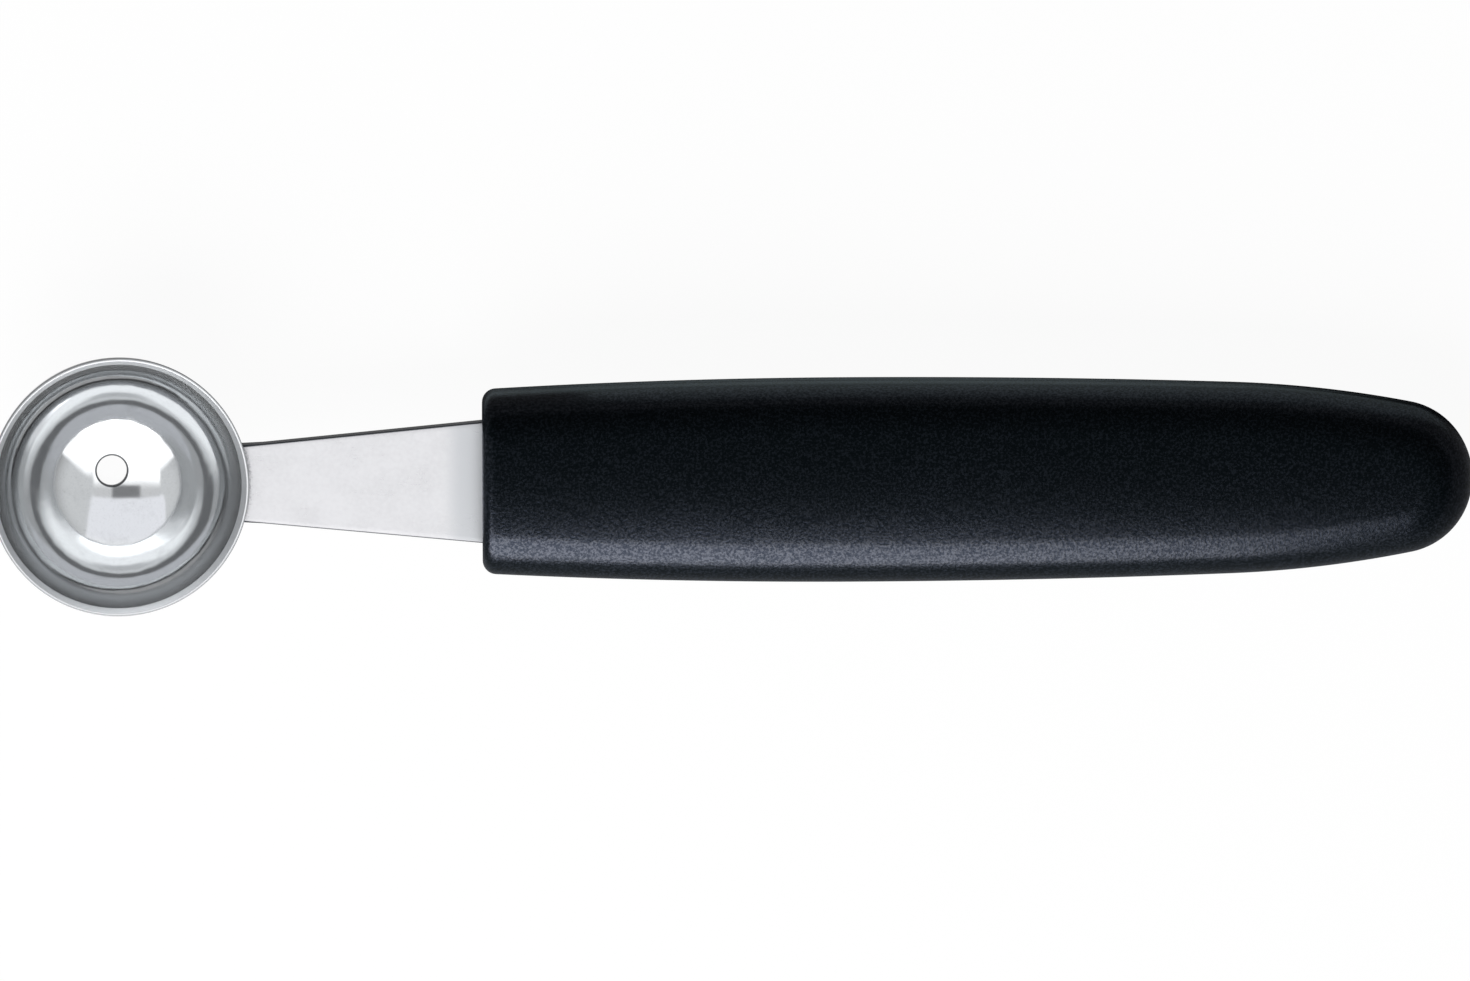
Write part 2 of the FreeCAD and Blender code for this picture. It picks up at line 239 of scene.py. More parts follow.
def mouth_axes() -> Tuple[Colour, Colour, Colour]:
    """Directions along the tool, across it and out of the bowl's leaning mouth."""
    lean = math.radians(MOUTH_TILT)
    return (math.cos(lean), 0.0, -math.sin(lean)), (0.0, 1.0, 0.0), (math.sin(lean), 0.0, math.cos(lean))


def rounded(points: np.ndarray) -> np.ndarray:
    """Close a quarter section to a whole ring by mirroring it in y and z.

    Args:
        points: rows by quarter points by 3; a quarter runs from z = 0 on the +y side to y = 0 on top.

    Returns:
        Rows by ring points by 3.
    """
    left = points * np.array([1.0, -1.0, 1.0])
    under = points * np.array([1.0, 1.0, -1.0])
    both = points * np.array([1.0, -1.0, -1.0])
    return np.concatenate([points, left[:, -2::-1], both[:, 1:], under[:, -2:0:-1]], axis=1)


def grid_faces(rows: int, columns: int, close_rows: bool, close_columns: bool) -> np.ndarray:
    """Corner numbers of the quads of a grid.

    Args:
        rows: rows of points.
        columns: points in a row.
        close_rows: whether the last row meets the first.
        close_columns: whether each row closes on itself.

    Returns:
        Quads by 4.
    """
    row = np.arange(rows if close_rows else rows - 1)[:, None]
    column = np.arange(columns if close_columns else columns - 1)[None, :]
    next_row = (row + 1) % rows
    next_column = (column + 1) % columns
    corners = [
        row * columns + column,
        row * columns + next_column,
        next_row * columns + next_column,
        next_row * columns + column,
    ]
    return np.stack(np.broadcast_arrays(*corners), axis=-1).reshape(-1, 4)


def merged(points: np.ndarray, quads: np.ndarray) -> Tuple[np.ndarray, np.ndarray, np.ndarray]:
    """Make points at one place one point, and turn quads with a lost corner into triangles.

    Args:
        points: points by 3, in millimetres.
        quads: quads by 4.

    Returns:
        The points, the quads and the triangles that are left.
    """
    keys = np.round(points / SAME).astype(np.int64)
    _, first, number = np.unique(keys, axis=0, return_index=True, return_inverse=True)
    quads = number.reshape(-1)[quads]
    same = quads == np.roll(quads, -1, axis=1)
    crossed = (quads[:, 0] == quads[:, 2]) | (quads[:, 1] == quads[:, 3])
    lost = same.sum(axis=1)
    whole = (lost == 0) & ~crossed
    short = (lost == 1) & ~crossed
    gap = np.argmax(same[short], axis=1)
    order = (gap[:, None] + np.arange(1, 4)[None, :]) % 4
    return points[first], quads[whole], np.take_along_axis(quads[short], order, axis=1)


def volume(points: np.ndarray, triangles: np.ndarray) -> float:
    """Signed volume in a closed skin, a sixth of the sum of triple products, positive where faces point outwards."""
    a, b, c = (points[triangles[:, i]] for i in range(3))
    return float(np.einsum("ij,ij->i", a, np.cross(b, c)).sum() / 6.0)


def smooth_mesh(name: str, points: np.ndarray, faces: List[List[int]]) -> bpy.types.Object:
    """Make a smooth mesh object at the origin.

    Args:
        name: its name.
        points: points by 3, in metres.
        faces: corner numbers of each face.

    Returns:
        The object.
    """
    mesh = bpy.data.meshes.new(name)
    mesh.from_pydata(points.tolist(), [], faces)
    mesh.polygons.foreach_set("use_smooth", np.ones(len(mesh.polygons), dtype=bool))
    made = bpy.data.objects.new(name, mesh)
    bpy.context.scene.collection.objects.link(made)
    return made


def solid(name: str, points: np.ndarray, close_rows: bool = False) -> bpy.types.Object:
    """Make a closed mesh object from a grid of points whose rows close on themselves.

    Args:
        name: the piece's name.
        points: rows by columns by 3, in millimetres in the shared frame.
        close_rows: whether the last row meets the first.

    Returns:
        The object, at the origin, its place in its mesh.
    """
    quads = grid_faces(*points.shape[:2], close_rows, True)
    spots, quads, triangles = merged(points.reshape(-1, 3), quads)
    every = np.concatenate([triangles, quads[:, :3], quads[:, [0, 2, 3]]])
    if volume(spots, every) < 0:
        quads = quads[:, ::-1]
        triangles = triangles[:, ::-1]
    made = smooth_mesh(name, spots * MM, quads.tolist() + triangles.tolist())
    made.data.set_sharp_from_angle(angle=SHARP)
    made.data.update()
    LOG.info("%s: %d points, %d faces", name, len(spots), len(made.data.polygons))
    return made


def arc_between(first: np.ndarray, second: np.ndarray, shares: np.ndarray) -> np.ndarray:
    """Unit vectors on the great arc from one set of directions to another.

    Each is (sin((1 - s) a) first + sin(s a) second) / sin(a), with a the angle between the two.

    Args:
        first: directions, any shape by 3.
        second: directions of the same shape.
        shares: places along the arc, 0 to 1.

    Returns:
        The same shape with the shares as a new axis before the last.
    """
    angle = np.arccos(np.clip((first * second).sum(axis=-1), -1.0, 1.0))[..., None, None]
    share = shares[:, None]
    start = np.sin((1.0 - share) * angle) * first[..., None, :]
    end = np.sin(share * angle) * second[..., None, :]
    return (start + end) / np.sin(angle)


def piece(made: bpy.types.Object, node: Node, finish: bpy.types.Material) -> bpy.types.Object:
    """Dress a mesh and put it in the place of a CAD node.

    Args:
        made: the mesh object.
        node: the node that it stands for.
        finish: its material.

    Returns:
        The mesh object.
    """
    made.data.materials.append(finish)
    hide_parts(node.value)
    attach(made, "root")
    return made


@dataclass(frozen=True)
class PolishedSteel:
    """Drawn steel, polished on a spindle: a mirror with faint rings, and a ground rim."""

    tint: Colour = (0.535, 0.548, 0.557)
    rim_tint: Colour = (0.48, 0.49, 0.5)
    lip_tint: Colour = (0.2, 0.205, 0.21)
    # painted shade for the drain hole's wall
    painted_drain_shade_tint: Colour = (0.07, 0.072, 0.075)
    dull_share: float = 0.8
    metal: float = 0.98
    roughness: float = 0.06
    rim_roughness: float = 0.36
    rim_depth: float = 0.95
    ring_scale: float = 60.0
    smear_scale: float = 320.0
    pit_scale: float = 5200.0
    wave_scale: float = 500.0
    haze_from: float = 0.83
    haze_to: float = 0.93
    haze_roughness: float = 0.16
    haze_loss: float = 0.11
    relief: float = 0.00002

    def material(self) -> bpy.types.Material:
        """Make the material.

        Returns:
            Metal whose roughness and relief vary in rings of equal slope on the bowl, with a few dull smears, fine
            pits, a slight swell and a haze toward the rim. The rim and its bevel are rougher, with short scratches.
        """
        tree = Tree(bpy.data.materials.new("polished_steel"))
        place = tree.place()
        x, y, z = (tree.dot(place, axis) / MM for axis in mouth_axes())
        reach = (x * x + y * y).math("SQRT")
        slope = tree.math("ARCTAN2", reach, 0.0 - z)
        rings = tree.noise(tree.vector(slope * self.ring_scale, 0.0, 0.0), 1.0, 4.0, 0.7)
        dull = tree.noise(place, self.smear_scale, 4.0, 0.65).step(0.5, 0.72)
        pits = tree.noise(place, self.pit_scale, 2.0, 0.6).step(0.55, 0.7)
        waves = tree.noise(place, self.wave_scale, 1.0, 0.5)
        scratches = tree.noise(tree.vector(x * 9.0, y * 9.0, z * 2.0), 1.0, 3.0, 0.6)
        ground = z.step(-self.rim_depth - 0.1, -self.rim_depth + 0.1)
        haze = reach.step(self.haze_from * BOWL_RADIUS, self.haze_to * BOWL_RADIUS)
        lip = ground * reach.step(BOWL_RADIUS - 0.22, BOWL_RADIUS - 0.12)
        # painted shade: the drain hole's wall and its rounded edges darkened to near black
        painted_drain_shade = 1.0 - reach.step(DRAIN_RADIUS + 0.16, DRAIN_RADIUS + 0.26)
        roughness = self.roughness + (rings - 0.5) * 0.05 + dull * 0.05 + haze * self.haze_roughness
        rim = self.rim_roughness + (scratches - 0.5) * 0.25
        polish = tree.mix(dull * 0.35 + pits * 0.4, self.tint, shaded(self.tint, self.dull_share))
        grind = tree.mix(scratches, shaded(self.rim_tint, self.dull_share), self.rim_tint)
        skin = tree.mix(lip, tree.mix(ground, polish, grind), self.lip_tint)
        swell = (waves * 0.9 + rings * 0.06) * (1.0 - ground)
        return tree.surface(
            {
                "Base Color": tree.mix(painted_drain_shade, skin, self.painted_drain_shade_tint),
                "Metallic": self.metal - haze * self.haze_loss,
                "Roughness": roughness * (1.0 - ground) + rim * ground,
                "Normal": tree.bump(swell + scratches * ground, self.relief, 0.5),
            }
        )


@dataclass(frozen=True)
class SatinSteel:
    """Stamped steel strip with a fine satin face and dull sheared edges.

    Its edges are painted nearly black as painted dark reflection, with a painted shade line inside them, and
    painted shade and reflection of the handle lie on it next to the handle.
    """

    tint: Colour = (0.388, 0.388, 0.398)
    # nearly black: painted dark reflection on the strip's sides
    painted_dark_edge_tint: Colour = (0.024, 0.026, 0.03)
    # painted shade line just inside the edges
    painted_edge_shade_tint: Colour = (0.29, 0.29, 0.3)
    heat_tint: Colour = (0.2, 0.2, 0.21)
    # painted shade and reflection of the handle on the strip next to it
    painted_handle_shade_tint: Colour = (0.311, 0.319, 0.33)
    dull_share: float = 0.93
    roughness: float = 0.3
    flare: float = (ROOT_HALF - NECK_HALF) / (FRONT - BOWL_RADIUS)
    edge_depth: float = 0.11
    edge_lean: float = 0.03
    cloud_scale: float = 260.0
    fleck_scale: float = 2200.0
    fine_scale: float = 5200.0
    relief: float = 0.00001

    def material(self) -> bpy.types.Material:
        """Make the material.

        Returns:
            Metal with fine grain drawn out along the strip, soft cloudy patches, dull edges painted nearly black
            as painted dark reflection, a painted shade line inside them, a mottled zone next to the bowl, and
            painted shade and reflection of the handle next to the handle.
        """
        tree = Tree(bpy.data.materials.new("satin_steel"))
        place = tree.place()
        x, y, z = (part / MM for part in tree.parts(place))
        grain = tree.noise(tree.vector(x * 0.5, y * 12.0, z * 12.0), 1.0, 3.0, 0.6)
        cloud = tree.noise(place, self.cloud_scale, 4.0, 0.65)
        fleck = tree.noise(place, self.fleck_scale, 2.0, 0.5)
        fine = tree.noise(place, self.fine_scale, 1.0, 0.5)
        inset = NECK_HALF + (x - BOWL_RADIUS) * self.flare - abs(y + self.edge_lean)
        # sheared sides: rougher for real, and painted nearly black as a painted dark reflection
        dull_edge_painted_dark = 1.0 - inset.step(0.7 * self.edge_depth, 1.65 * self.edge_depth)
        # painted shade line just inside the edges
        painted_edge_shade = 1.0 - inset.step(self.edge_depth, 2.4 * self.edge_depth)
        blotch = fleck * 0.5 + cloud * 0.5
        reach = (x * x + y * y).math("SQRT")
        heat = 1.0 - (reach + fleck * 0.5 + fine * 1.3).step(BOWL_RADIUS + 0.6, BOWL_RADIUS + 1.2)
        face = tree.mix(blotch.step(0.3, 0.7), shaded(self.tint, self.dull_share), self.tint)
        # painted shade and reflection of the handle on the strip next to the handle
        with_painted_handle_shade = tree.mix((x + cloud * 1.2).step(FRONT - 4.2, FRONT - 1.6), face, self.painted_handle_shade_tint)
        worked = tree.mix(heat * 0.8, with_painted_handle_shade, self.heat_tint)
        return tree.surface(
            {
                "Base Color": tree.mix(dull_edge_painted_dark, tree.mix(painted_edge_shade, worked, self.painted_edge_shade_tint), self.painted_dark_edge_tint),
                "Metallic": 1.0,
                "Roughness": self.roughness + (grain - 0.5) * 0.12 + (cloud - 0.5) * 0.1 + dull_edge_painted_dark * 0.15,
                "Normal": tree.bump(grain * 0.4 + fleck * 0.6, self.relief, 0.5),
            }
        )


@dataclass(frozen=True)
class WeldSteel:
    """Weld brushed clean: duller and slightly straw coloured."""

    tint: Colour = (0.5, 0.49, 0.475)
    straw: Colour = (0.44, 0.39, 0.33)
    roughness: float = 0.38
    patch_scale: float = 900.0
    relief: float = 0.00005

    def material(self) -> bpy.types.Material:
        """Make the material.

        Returns:
            Metal with uneven heat colour.
        """
        tree = Tree(bpy.data.materials.new("weld_steel"))
        patches = tree.noise(tree.place(), self.patch_scale, 3.0, 0.6)
        return tree.surface(
            {
                "Base Color": tree.mix(patches.step(0.3, 0.7), self.tint, self.straw),
                "Metallic": 1.0,
                "Roughness": self.roughness + (patches - 0.5) * 0.2,
                "Normal": tree.bump(patches, self.relief, 0.3),
            }
        )


@dataclass(frozen=True)
class GrainedPlastic:
    """Black moulded plastic with the fine grain of an eroded mould."""

    tint: Colour = (0.0018, 0.0032, 0.0038)
    worn: Colour = (0.0105, 0.0138, 0.0158)
    sheen: Colour = (0.61, 0.71, 1.0)
    roughness: float = 0.25
    specular: float = 0.2
    gloss: float = 0.52
    coarse_scale: float = 3400.0
    fine_scale: float = 7400.0
    patch_scale: float = 90.0
    relief: float = 0.00004

    def material(self) -> bpy.types.Material:
        """Make the material.

        Returns:
            Plastic with two sizes of grain in its relief, pale worn grain tops that are also glossier, and soft
            patches of gloss.
        """
        tree = Tree(bpy.data.materials.new("black_plastic"))
        place = tree.place()
        coarse = tree.noise(place, self.coarse_scale, 1.0, 0.5)
        fine = tree.noise(place, self.fine_scale, 1.0, 0.5)
        patches = tree.noise(place, self.patch_scale, 3.0, 0.55)
        grain = coarse * 0.65 + fine * 0.35
        tops = grain.step(0.48, 0.62)
        return tree.surface(
            {
                "Base Color": tree.mix(tops * (patches * 0.6 + 0.4), self.tint, self.worn),
                "Roughness": self.roughness + (patches - 0.5) * 0.06 + (fine - 0.5) * 0.1,
                "Specular IOR Level": self.specular,
                "Specular Tint": (*self.sheen, 1.0),
                "Coat Weight": grain.step(0.4, 0.62) * self.gloss,
                "Coat Roughness": self.roughness,
                "Coat Tint": (*self.sheen, 1.0),
                "Normal": tree.bump(grain, self.relief, 0.8),
            }
        )


@dataclass
class Bowl:
    """Drawn bowl with a flat rim, a bevel inside it and a drain hole."""

    radius: float = BOWL_RADIUS
    wall: float = 0.8
    land: float = 0.3
    bevel_depth: float = 0.9
    drain_radius: float = DRAIN_RADIUS
    rim_break: float = 0.08
    bevel_break: float = 0.25
    drain_break: float = 0.14
    turns: int = 256
    outer_points: int = 90
    inner_points: int = 120
    corner_points: int = 9
    corner_clearance: float = 1.05
    finish: PolishedSteel = field(default_factory=PolishedSteel)

    def section(self) -> np.ndarray:
        """Work out the wall's closed section.

        The outer and inner circles share one centre in the rim's plane. They are joined by the flat rim, the
        bevel and the hole's wall, and every corner is replaced by a small tangent arc.

        Returns:
            Points by 2, distance from the axis and height, going round once.
        """
        inner = self.radius - self.wall
        bevel_angle = -math.asin(self.bevel_depth / inner)
        hole_out = -math.acos(self.drain_radius / self.radius)
        hole_in = -math.acos(self.drain_radius / inner)
        outside = self.circle(self.radius, hole_out, 0.0, self.outer_points)
        inside = self.circle(inner, bevel_angle, hole_in, self.inner_points)
        rim = np.array([[self.radius, 0.0], [self.radius - self.land, 0.0]])
        bevel = np.stack([rim[1], inside[0]])
        drain = np.stack([inside[-1], outside[0]])
        runs = [outside, rim, bevel, inside, drain]
        breaks = [self.rim_break, self.rim_break, self.bevel_break, self.drain_break, self.drain_break]
        return self.soften(runs, breaks)

    @staticmethod
    def circle(radius: float, start: float, end: float, count: int) -> np.ndarray:
        """Points by 2 on a circle about the bowl's centre, from one angle to another."""
        angle = np.linspace(start, end, count)
        return radius * np.stack([np.cos(angle), np.sin(angle)], axis=1)

    def soften(self, runs: Sequence[np.ndarray], breaks: Sequence[float]) -> np.ndarray:
        """Round the corner at the end of each run.

        A corner's arc touches both runs at radius times the tangent of half the turn from the corner.

        Args:
            runs: the section's runs in order, each ending where the next starts.
            breaks: radius of the arc at each run's end.

        Returns:
            Points by 2.
        """
        shape: List[np.ndarray] = []
        trims: List[float] = []
        arcs: List[np.ndarray] = []
        for run, following, radius in zip(runs, [*runs[1:], runs[0]], breaks):
            into = (run[-1] - run[-2]) / np.linalg.norm(run[-1] - run[-2])
            out = (following[1] - following[0]) / np.linalg.norm(following[1] - following[0])
            turn = math.acos(float(np.clip(into @ out, -1.0, 1.0)))
            trim = radius * math.tan(turn / 2.0)
            side = 1.0 if into[0] * out[1] - into[1] * out[0] > 0 else -1.0
            normal = side * np.array([-into[1], into[0]])
            centre = run[-1] - into * trim + normal * radius
            angle = np.linspace(0.0, turn, self.corner_points)[:, None]
            arcs.append(centre + radius * (np.sin(angle) * into - np.cos(angle) * normal))
            trims.append(trim)
        for number, run in enumerate(runs):
            step = np.concatenate([[0.0], np.cumsum(np.linalg.norm(np.diff(run, axis=0), axis=1))])
            before, after = (trims[which] * self.corner_clearance for which in (number - 1, number))
            shape.append(run[(step > before) & (step < step[-1] - after)])
            shape.append(arcs[number])
        return np.concatenate(shape)

    def build(self) -> bpy.types.Object:
        """Turn the section about the upright axis, (r cos a, r sin a, z), then lean the mouth toward the handle.

        Returns:
            The bowl.
        """
        section = self.section()
        angle = np.linspace(0.0, 2.0 * math.pi, self.turns, endpoint=False)[:, None]
        height = np.broadcast_to(section[:, 1], (self.turns, len(section)))
        upright = np.stack([section[:, 0] * np.cos(angle), section[:, 0] * np.sin(angle), height], axis=-1)
        made = solid("bowl", upright @ np.array(mouth_axes()), close_rows=True)
        return piece(made, Node.BOWL, self.finish.material())


@dataclass
class Shank:
    """Flat strip that widens from the bowl to the handle, and its tang."""

    bowl_radius: float = BOWL_RADIUS
    bury: float = 0.2
    rim_lift: float = DROP
    thickness: float = STRIP_THICKNESS
    neck_half: float = NECK_HALF
    root_half: float = ROOT_HALF
    front: float = FRONT
    lead: float = 1.5
    seat: float = 6.0
    seat_break: float = 0.05
    tang_half: float = 4.5
    tang_length: float = 72.0
    tang_corner: float = 3.0
    shoulder_corner: float = 1.2
    edge_break: float = 0.08
    free_points: int = 60
    corner_points: int = 10
    edge_points: int = 7
    side_points: int = 4
    face_points: int = 12
    finish: SatinSteel = field(default_factory=SatinSteel)

    def half_width(self, x: np.ndarray) -> np.ndarray:
        """Half the strip's width before the seat, a straight line from neck to root."""
        share = (x - self.bowl_radius) / (self.front - self.bowl_radius)
        return self.neck_half + (self.root_half - self.neck_half) * np.minimum(share, 1.0)

    def stations(self) -> np.ndarray:
        """Places along the strip from its bowl end to the tang's tip.

        The shoulder and the tip are quarter circles in plan.

        Returns:
            Stations by 2, distance from the bowl's axis and half width.
        """
        seat_end = self.front + self.seat
        tip = self.front + self.tang_length
        free = np.linspace(self.bowl_radius + self.lead, self.front, self.free_points)
        turn = np.linspace(0.0, QUARTER, self.corner_points)
        shoulder_x = seat_end + self.shoulder_corner * (1.0 - np.cos(turn))
        shoulder_w = self.tang_half + self.shoulder_corner * (1.0 - np.sin(turn))
        tip_x = tip - self.tang_corner * (1.0 - np.sin(turn))
        tip_w = self.tang_half - self.tang_corner * (1.0 - np.cos(turn))
        runs = [
            np.stack([free, self.half_width(free)], axis=1),
            np.array([[seat_end - self.seat_break, self.root_half], [seat_end, self.root_half - self.seat_break]]),
            np.stack([shoulder_x, shoulder_w], axis=1),
            np.stack([tip_x, tip_w], axis=1),
        ]
        return np.concatenate(runs)

    def quarter(self, half: np.ndarray) -> Tuple[np.ndarray, np.ndarray]:
        """A quarter of the strip's section: side, rounded edge and face.

        Args:
            half: half widths, one for each row.

        Returns:
            Distances from the middle line and from the middle plane, rows by points.
        """
        turn = np.linspace(0.0, QUARTER, self.edge_points)
        rise = self.thickness / 2.0 - self.edge_break
        inset = self.edge_break * (1.0 - np.cos(turn))
        height = rise + self.edge_break * np.sin(turn)
        side = np.linspace(0.0, rise, self.side_points)[:-1]
        face = np.linspace(1.0, 0.0, self.face_points)[1:]
        edge_y = half[:, None] - inset
        face_y = edge_y[:, -1:] * face
        side_y = np.repeat(half[:, None], len(side), axis=1)
        y = np.concatenate([side_y, edge_y, face_y], axis=1)
        z = np.concatenate([side, height, np.full(len(face), self.thickness / 2.0)])
        return y, np.broadcast_to(z, y.shape)

    def bowl_end(self, points: np.ndarray) -> None:
        """Move points along the strip to where it meets the bowl, a little inside its wall.

        The distance from the bowl's axis is the square root of the radius squared less the squares of the place
        across and of the height, which is counted from the rim.

        Args:
            points: any shape by 3, heights from the strip's middle plane.
        """
        radius = self.bowl_radius - self.bury
        points[..., 0] = np.sqrt(radius**2 - points[..., 1] ** 2 - (points[..., 2] - self.rim_lift) ** 2)

    def build(self) -> bpy.types.Object:
        """Carry the section along the strip, from an end that follows the bowl to a flat tip.

        Returns:
            The strip.
        """
        places = self.stations()
        y, z = self.quarter(places[:, 1])
        x = np.broadcast_to(places[:, :1], y.shape)
        rings = rounded(np.stack([x, y, z], axis=-1))
        neck_y, neck_z = self.quarter(self.half_width(np.array([self.bowl_radius])))
        neck = rounded(np.stack([np.zeros_like(neck_y), neck_y, neck_z], axis=-1))
        core = neck * FLAT
        for end in (neck, core):
            self.bowl_end(end)
        points = np.concatenate([core, neck, rings, rings[-1:] * FLAT])
        points[..., 2] -= self.rim_lift
        return piece(solid("strip", points), Node.SHANK, self.finish.material())


@dataclass
class Weld:
    """Bead in the corner under the strip, against the bowl."""

    bowl_radius: float = BOWL_RADIUS
    strip_underside: float = DROP + STRIP_THICKNESS / 2.0
    leg: float = 1.0
    half_length: float = 3.975
    ripples: float = 11.0
    ripple_height: float = 0.05
    valley: float = 0.94
    first_angle: float = 12.0
    last_angle: float = -122.0
    root: Tuple[float, float] = (-0.35, 0.25)
    length_points: int = 121
    round_points: int = 22
    finish: WeldSteel = field(default_factory=WeldSteel)

    def build(self) -> bpy.types.Object:
        """Carry a rippled round along the corner of strip and bowl.

        The bead's radius is the leg times the fourth root of 1 - s^4, times the valley's share plus a row of
        rounded ripples, with s the place along the bead from -1 to 1. One more point, the root, closes the section
        inside the corner.

        Returns:
            The bead.
        """
        corner = math.sqrt(self.bowl_radius**2 - self.strip_underside**2)
        share = np.linspace(-1.0, 1.0, self.length_points)
        swing = (share * self.half_length / corner)[:, None]
        swell = np.sqrt(np.sqrt(np.maximum(1.0 - share**4, 0.0)))
        phase = (share + 1.0) * self.ripples / 2.0
        ripple = 1.0 - (2.0 * (phase % 1.0) - 1.0) ** 2
        reach = (self.leg * swell * (self.valley + self.ripple_height * ripple))[:, None]
        turn = np.linspace(math.radians(self.first_angle), math.radians(self.last_angle), self.round_points)
        radius = corner + np.append(np.cos(turn), self.root[0]) * reach
        height = np.append(np.sin(turn), self.root[1]) * reach - self.strip_underside
        points = np.stack([radius * np.cos(swing), radius * np.sin(swing), height], axis=-1)
        return piece(solid("weld", points), Node.WELD, self.finish.material())


